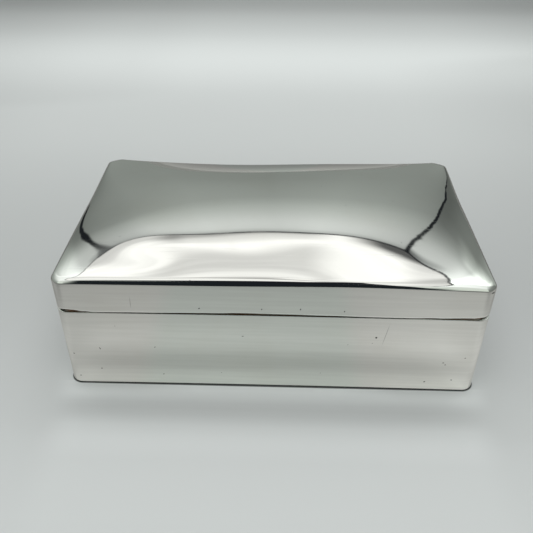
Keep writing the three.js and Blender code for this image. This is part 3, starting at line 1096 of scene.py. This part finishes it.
# A box of cloth panels round the object. Each reach is a share of the back panel's distance.
# Across, depth and rise are places on a panel, and rise is 1 at the top. Fades are as for the floor.
tent = {
    "left": 0.69,
    "right": 0.503,
    "top": 1.84,
    "front": 0.69,
    "backStops": ((0.0, 0.258), (0.1, 0.27), (0.2, 0.305), (0.3, 0.345), (0.4, 0.465), (0.5, 0.545),
                  (0.6, 0.61), (0.7, 0.665), (0.8, 0.69), (0.9, 0.68), (0.95, 0.58), (1.0, 0.42)),
    "backSideStops": ((-0.72, 0.62), (-0.55, 0.76), (-0.42, 0.93), (-0.22, 1.03), (-0.03, 0.95),
                      (0.13, 1.06), (0.27, 0.98), (0.42, 0.83), (0.52, 0.7)),
    "sideGain": (0.95, 0.6, 1.0, 1.8),  # the side panels brighten from the back to the front
    "sideShadeEnd": 0.97,
    "sideShadeRise": (0.86, 0.97),
    "sideBrightEdge": 0.11,
    "leftSide": {
        "stops": ((0.0, 0.15), (0.2, 0.18), (0.3, 0.23), (0.4, 0.31), (0.5, 0.4), (0.6, 0.48), (0.7, 0.53),
                  (0.8, 0.55), (1.0, 0.6)),
        "shadeStart": 0.9, "shade": 0.3, "brightPlace": 0.73, "brightReach": 0.13, "bright": 0.35,
    },
    "rightSide": {
        "stops": ((0.0, 0.105), (0.2, 0.12), (0.3, 0.15), (0.4, 0.235), (0.5, 0.34), (0.6, 0.46),
                  (0.7, 0.55), (0.8, 0.6), (1.0, 0.65)),
        "shadeStart": 0.8, "shade": 0.75, "brightPlace": 0.42, "brightReach": 0.21, "bright": 0.9,
    },
    "rightLowRise": ((0.2, 0.3), (0.55, 0.43)),  # a brighter patch low on the right panel
    "rightLowDepth": ((0.1, 0.25), (0.8, 0.7)),
    "rightLowGain": 1.45,
    "topStops": ((-0.7, 0.8), (0.08, 0.85), (0.4, 0.88), (0.45, 0.42), (0.49, 0.42), (0.53, 0.85),
                 (0.6, 0.88), (0.64, 0.7), (0.7, 0.64), (0.8, 0.64), (0.83, 0.68), (0.85, 0.82),
                 (0.865, 1.0), (0.885, 1.0), (0.9, 0.8), (0.93, 0.7), (0.96, 0.64), (1.0, 0.4)),
    "topGain": 1.18,
    "topArc": 0.6,  # the bars bow towards the front at their ends
    # bright and shaded patches of the top panel: a fade across it and one in its depth
    "topBright": (((-0.36, -0.52), (0.5, 0.58)), ((0.07, 0.25), (0.62, 0.72))),
    "topShade": (((0.2, 0.4, 0.0, 0.92), (0.815, 0.925)), ((0.37, 0.49, 0.0, 0.36), (0.7, 0.85, 0.5, 1.0)),
                 ((-0.3, -0.42, 0.0, 0.4), (0.79, 0.9))),
    "foldStretch": (1.5, 12.0),
    "foldScale": 2.0,
    "folds": (0.3, 0.7, 0.95, 1.04),
    # the opening at the front, from left to right, how high it is, and how far back the top panel is open
    "openingLeft": (-0.335, -0.3),
    "openingRight": (0.24, 0.28, 1.0, 0.0),
    "lintelLeft": (-0.05, -0.4, 1.1, 0.72, "LINEAR"),
    "lintelRight": (0.185, 0.24, 1.1, 0.3, "LINEAR"),
    "lintelEdge": (-0.05, 0.05, 1.0, 0.0),
    "sill": (0.1, 0.02),
    "openingDepth": ((-0.4, -0.8), (-0.05, 0.0), (0.03, 0.12), (0.06, 0.3), (0.1, 0.43), (0.13, 0.4),
                     (0.145, 0.1), (0.16, -0.1), (0.18, -0.45), (0.2, -0.8)),
    "openingEdge": (-0.08, 0.08, 1.0, 0.0),
    # dark edges where the panels meet; the left one is thickest low down and the right one is crumpled
    "leftSeam": ((0.0, 0.035), (0.15, 0.045), (0.3, 0.075), (0.5, 0.032), (0.7, 0.021), (0.85, 0.014),
                 (1.0, 0.009)),
    "topSeam": ((-0.7, 0.006), (-0.6, 0.007), (-0.4, 0.016), (0.0, 0.019), (0.5, 0.02)),
    "rightSeam": 0.023,
    "leftTopSeam": 0.011,
    "rightTopSeam": 0.016,
    "crumpleScale": 16.0,
    "crumple": (0.3, 0.7, -0.009, 0.009, "LINEAR"),
    "crumpleEnd": (0.6, 0.92, 1.0, 0.0),
    "tintRise": (0.1, 0.8),
    "lowTint": (0.925, 1.0, 0.925, 1),
    "highTint": (0.965, 1.0, 0.965, 1),
    "topTint": (1.01, 1.0, 0.967, 1),
    "frontColour": (0.012, 0.014, 0.018, 1),
    "frontPale": (0.75, 0.75, 0.73, 1),
    "edgeColour": (0.012, 0.014, 0.016, 1),
}


def makeTentLight():
    world = bpy.data.worlds.new("tentLight")
    scene.world = world
    world.use_nodes = True
    tree = world.node_tree
    tree.nodes.clear()
    direction = addNode(tree, "ShaderNodeTexCoord").outputs["Generated"]
    x, y, z = addNode(tree, "ShaderNodeSeparateXYZ", {0: direction}).outputs
    back = y
    front = times(y, -1 / tent["front"])
    left = times(x, -1 / tent["left"])
    right = times(x, 1 / tent["right"])
    top = times(z, 1 / tent["top"])
    nearest = greatest(back, front, left, right, top)
    across = calc("DIVIDE", x, nearest)
    depth = calc("DIVIDE", y, nearest)
    rise = calc("DIVIDE", top, nearest)

    def onPanel(panel):
        return calc("GREATER_THAN", calc("DIVIDE", panel, nearest), 0.9999)

    def seam(one, other, width, strength):
        larger = greatest(one, other)
        apart = calc("SUBTRACT", 1.0, calc("DIVIDE", calc("MINIMUM", one, other), larger))
        line = fade(calc("DIVIDE", apart, width), 0.45, 1.0, strength, 0.0)
        return times(line, calc("GREATER_THAN", calc("DIVIDE", larger, nearest), 0.98))

    # back panel, darker towards its two sides
    backColour = tinted(shades(rise, tent["backStops"]), shades(across, tent["backSideStops"]))

    # side panels, shaded in the back corner under the top panel and brightest close to the front
    sideGain = fade(depth, *tent["sideGain"])

    def sideColour(side):
        reach = side["brightReach"]
        distance = calc("ABSOLUTE", calc("SUBTRACT", depth, side["brightPlace"]))
        bright = fade(distance, reach, reach - tent["sideBrightEdge"], 0.0, side["bright"])
        colour = tinted(shades(rise, side["stops"]), times(sideGain, calc("ADD", bright, 1.0)))
        shade = times(
            fade(depth, side["shadeStart"], tent["sideShadeEnd"]), fade(rise, *tent["sideShadeRise"]),
            side["shade"])
        return mixColour(shade, colour, tent["edgeColour"])

    leftColour = sideColour(tent["leftSide"])
    lowBright = times(
        *(fade(rise, *limits) for limits in tent["rightLowRise"]),
        *(fade(depth, *limits) for limits in tent["rightLowDepth"]))
    lowGain = fade(lowBright, 0.0, 1.0, 1.0, tent["rightLowGain"], "LINEAR")
    rightColour = tinted(sideColour(tent["rightSide"]), lowGain)

    # top panel, with bright bars, a sewn edge and faint folds
    def patches(name):
        return greatest(*(
            times(fade(across, *sideways), fade(depth, *backward)) for sideways, backward in tent[name]))

    curved = calc("ADD", depth, times(across, across, tent["topArc"]))
    topColour = mixColour(patches("topBright"), shades(curved, tent["topStops"]), (1, 1, 1, 1))
    topColour = tinted(topColour, (tent["topGain"], tent["topGain"], tent["topGain"], 1))
    topColour = mixColour(patches("topShade"), topColour, tent["edgeColour"])
    foldX, foldY = tent["foldStretch"]
    stretched = addNode(tree, "ShaderNodeCombineXYZ", {"X": times(across, foldX), "Y": times(curved, foldY)})
    folds = noise(stretched.outputs[0], tent["foldScale"], 3.0).outputs["Fac"]
    topColour = tinted(topColour, fade(folds, *tent["folds"]))

    # the front, and the front of the top, are open except at the two sides
    opening = times(fade(x, *tent["openingLeft"]), fade(x, *tent["openingRight"]))
    lintel = calc("MINIMUM", fade(x, *tent["lintelLeft"]), fade(x, *tent["lintelRight"]))
    lintel = fade(calc("SUBTRACT", rise, lintel), *tent["lintelEdge"])
    frontColour = mixColour(times(opening, lintel), tent["frontPale"], tent["frontColour"])
    frontColour = mixColour(fade(rise, *tent["sill"]), frontColour, tent["frontColour"])
    reach = shades(x, [(place, edge + 1) for place, edge in tent["openingDepth"]])
    ajar = fade(calc("SUBTRACT", calc("ADD", depth, 1.0), reach), *tent["openingEdge"])
    topColour = mixColour(times(opening, ajar), topColour, tent["frontColour"])

    colour = mixColour(onPanel(back), frontColour, backColour)
    colour = mixColour(onPanel(left), colour, leftColour)
    colour = mixColour(onPanel(right), colour, rightColour)
    colour = tinted(colour, mixColour(fade(rise, *tent["tintRise"]), tent["lowTint"], tent["highTint"]))
    colour = mixColour(onPanel(top), colour, tinted(topColour, tent["topTint"]))

    crumple = noise(direction, tent["crumpleScale"], 2.0).outputs["Fac"]
    shift = times(fade(crumple, *tent["crumple"]), fade(rise, *tent["crumpleEnd"]))
    crumpled = times(right, calc("ADD", shift, 1.0))
    seams = greatest(
        seam(back, top, shades(across, tent["topSeam"]), 0.85),
        seam(back, left, shades(rise, tent["leftSeam"]), 1.0),
        seam(back, crumpled, tent["rightSeam"], 1.0),
        seam(left, top, tent["leftTopSeam"], 0.8),
        seam(right, top, tent["rightTopSeam"], 0.9))
    colour = mixColour(seams, colour, tent["edgeColour"])
    light = addNode(tree, "ShaderNodeLightPath").outputs["Is Camera Ray"]
    colour = mixColour(light, colour, floorLook["farColour"])
    shade = addNode(tree, "ShaderNodeBackground", {"Color": colour})
    outputTo(tree, shade.outputs[0], "ShaderNodeOutputWorld")


# Lamps over the tent, which the metal does not mirror: power, spot, width and depth
lamps = {
    "overhead": (8.0, (0, 0, 1200), 1200, 1200),
    "behind": (1.2, (0, 480, 1070), 600, 170),
}


def makeLamp(name, power, spot, width, depth):
    data = bpy.data.lights.new(name, "AREA")
    data.shape = "RECTANGLE"
    data.size = width * mm
    data.size_y = depth * mm
    data.energy = power
    lamp = bpy.data.objects.new(name, data)
    lamp.location = Vector(spot) * mm
    lamp.rotation_euler = lamp.location.to_track_quat("Z", "Y").to_euler()
    lamp.visible_glossy = False
    scene.collection.objects.link(lamp)


cameraPlace = {
    "spot": (2.85, -245.66, 199.01),
    "pitch": 35.211,
    "yaw": -1.49,
    "roll": -0.236,
    "focalPixels": 623.68,
    "imagePixels": 533,
}


def makeCamera():
    pitch = math.radians(cameraPlace["pitch"])
    yaw = math.radians(cameraPlace["yaw"])
    roll = math.radians(cameraPlace["roll"])
    forward = Vector((math.sin(yaw) * math.cos(pitch), math.cos(yaw) * math.cos(pitch), -math.sin(pitch)))
    level = Vector((math.cos(yaw), -math.sin(yaw), 0))
    down = forward.cross(level)
    right = math.cos(roll) * level + math.sin(roll) * down
    up = math.sin(roll) * level - math.cos(roll) * down
    data = bpy.data.cameras.new("camera")
    data.sensor_width = 36
    data.lens = data.sensor_width * cameraPlace["focalPixels"] / cameraPlace["imagePixels"]
    data.clip_start = 0.01
    camera = bpy.data.objects.new("camera", data)
    turn = Matrix((right, up, -forward)).transposed().to_4x4()
    camera.matrix_world = Matrix.Translation(Vector(cameraPlace["spot"]) * mm) @ turn
    scene.collection.objects.link(camera)
    scene.camera = camera


makeFloor()
makeTentLight()
for lampName, lampPlace in lamps.items():
    makeLamp(lampName, *lampPlace)
makeCamera()
scene.view_settings.view_transform = "Standard"
print("stage ready")
